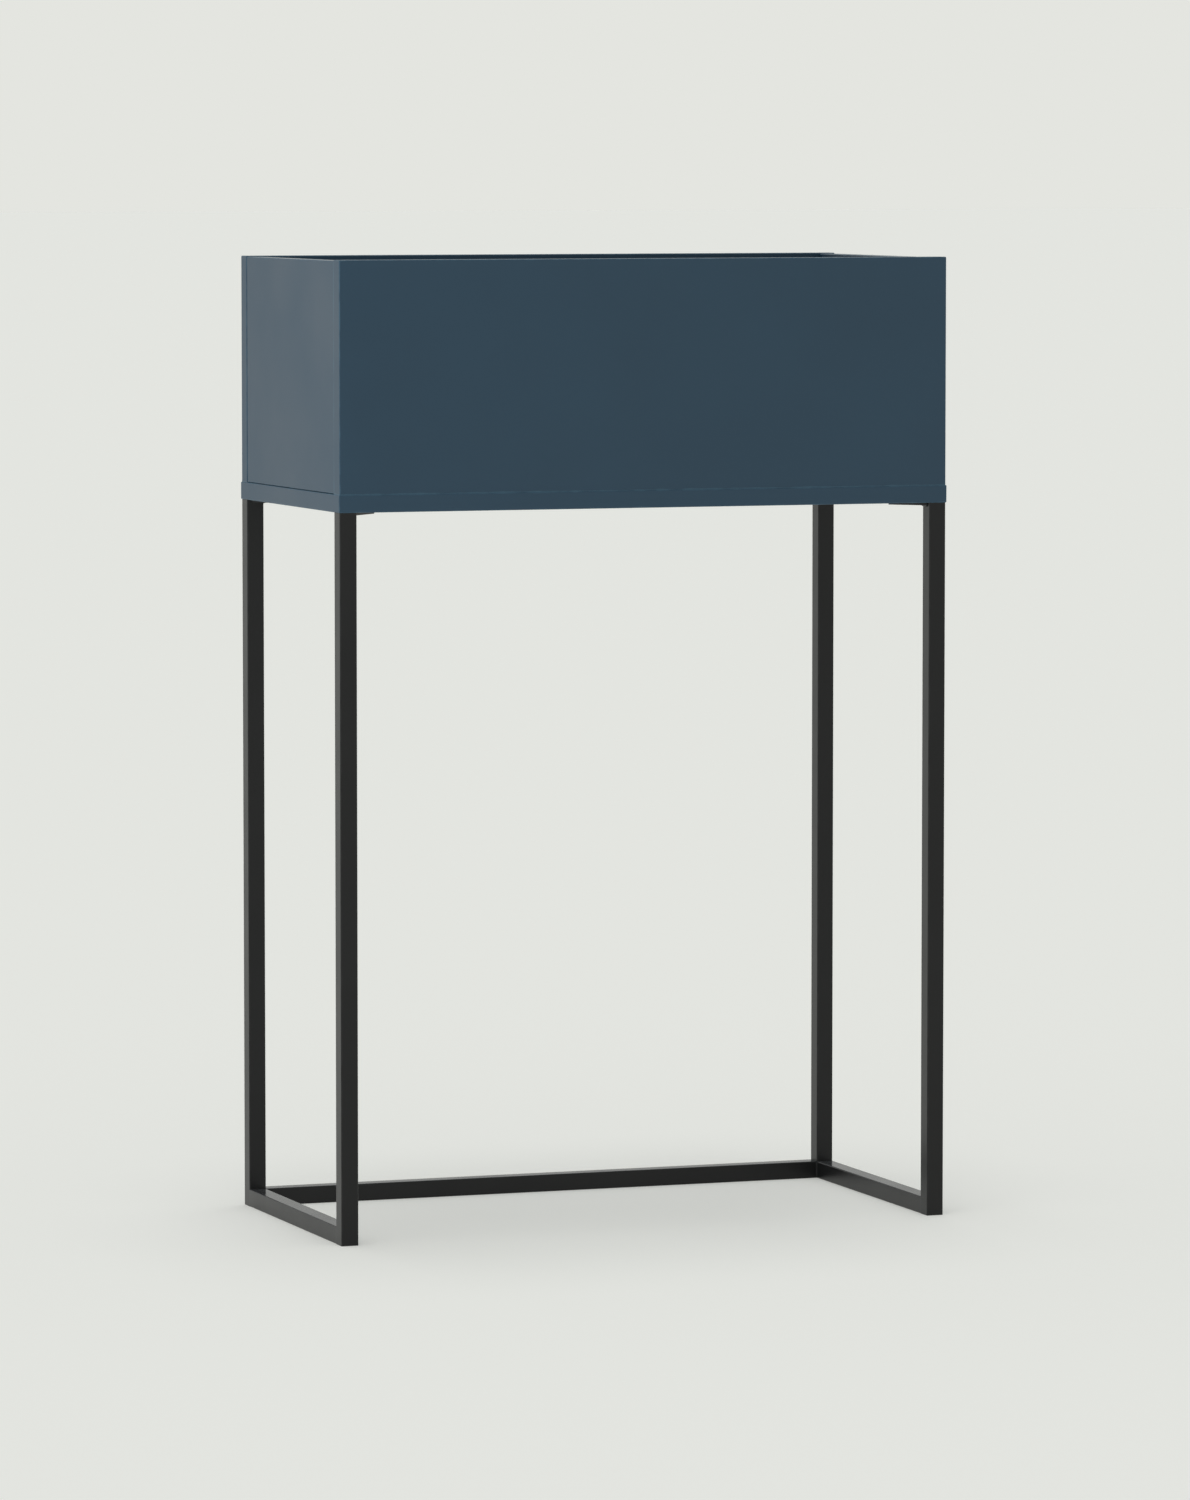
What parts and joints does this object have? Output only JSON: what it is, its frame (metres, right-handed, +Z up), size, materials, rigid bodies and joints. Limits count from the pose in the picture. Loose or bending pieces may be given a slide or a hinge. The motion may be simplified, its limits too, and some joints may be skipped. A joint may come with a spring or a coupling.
{
  "type": "raised planter on legs",
  "caption": "Rectangular open-top planter box of lacquered boards with a lift-out liner, on a slim square-tube steel stand with an open front.",
  "frame": {"origin": "centre of the footprint, on the floor that the stand's legs and bottom bars rest on", "axes": "+Z up, the front with no bottom bar faces -Y, +X is the right side seen from the front"},
  "size_m": [0.73, 0.362, 1.1],
  "materials": {
    "board_lacquer": "matt to satin petrol-blue lacquer, smooth, edges lightly broken",
    "stand_powder_coat": "fine black powder coat, satin",
    "liner_plastic": "black moulded plastic with a light grain",
    "plug_plastic": "black moulded plastic",
    "screw_zinc": "bright zinc plate",
    "dowel_beech": "bare beech"
  },
  "bodies": {
    "planter": {"front_panel": "board_lacquer", "rear_panel": "board_lacquer", "left_side_panel": "board_lacquer", "right_side_panel": "board_lacquer", "base_board": "board_lacquer", "corner_dowel_front_left_lower": "dowel_beech", "corner_dowel_front_left_upper": "dowel_beech", "corner_dowel_front_right_lower": "dowel_beech", "corner_dowel_front_right_upper": "dowel_beech", "corner_dowel_rear_right_lower": "dowel_beech", "corner_dowel_rear_right_upper": "dowel_beech", "corner_dowel_rear_left_lower": "dowel_beech", "corner_dowel_rear_left_upper": "dowel_beech", "base_screw_front_left": "screw_zinc", "base_screw_front_middle": "screw_zinc", "base_screw_front_right": "screw_zinc", "base_screw_rear_left": "screw_zinc", "base_screw_rear_middle": "screw_zinc", "base_screw_rear_right": "screw_zinc", "base_screw_left_front": "screw_zinc", "base_screw_left_rear": "screw_zinc", "base_screw_right_front": "screw_zinc", "base_screw_right_rear": "screw_zinc", "tab_screw_front_left_outer": "screw_zinc", "tab_screw_front_left_inner": "screw_zinc", "tab_screw_front_right_outer": "screw_zinc", "tab_screw_front_right_inner": "screw_zinc", "tab_screw_rear_right_outer": "screw_zinc", "tab_screw_rear_right_inner": "screw_zinc", "tab_screw_rear_left_outer": "screw_zinc", "tab_screw_rear_left_inner": "screw_zinc", "leg_front_left": "stand_powder_coat", "leg_front_right": "stand_powder_coat", "leg_rear_right": "stand_powder_coat", "leg_rear_left": "stand_powder_coat", "bottom_bar_left": "stand_powder_coat", "bottom_bar_right": "stand_powder_coat", "bottom_bar_rear": "stand_powder_coat", "mounting_tab_front_left": "stand_powder_coat", "mounting_tab_front_right": "stand_powder_coat", "mounting_tab_rear_right": "stand_powder_coat", "mounting_tab_rear_left": "stand_powder_coat", "leg_plug_front_left": "plug_plastic", "leg_plug_front_right": "plug_plastic", "leg_plug_rear_right": "plug_plastic", "leg_plug_rear_left": "plug_plastic"},
    "liner": {"liner_tub": "liner_plastic"}
  },
  "joints": [
    {"name": "liner_lift", "type": "slide", "parent": "planter", "child": "liner", "axis": [0, 0, 1], "range_m": [0, 0.27]}
  ]
}
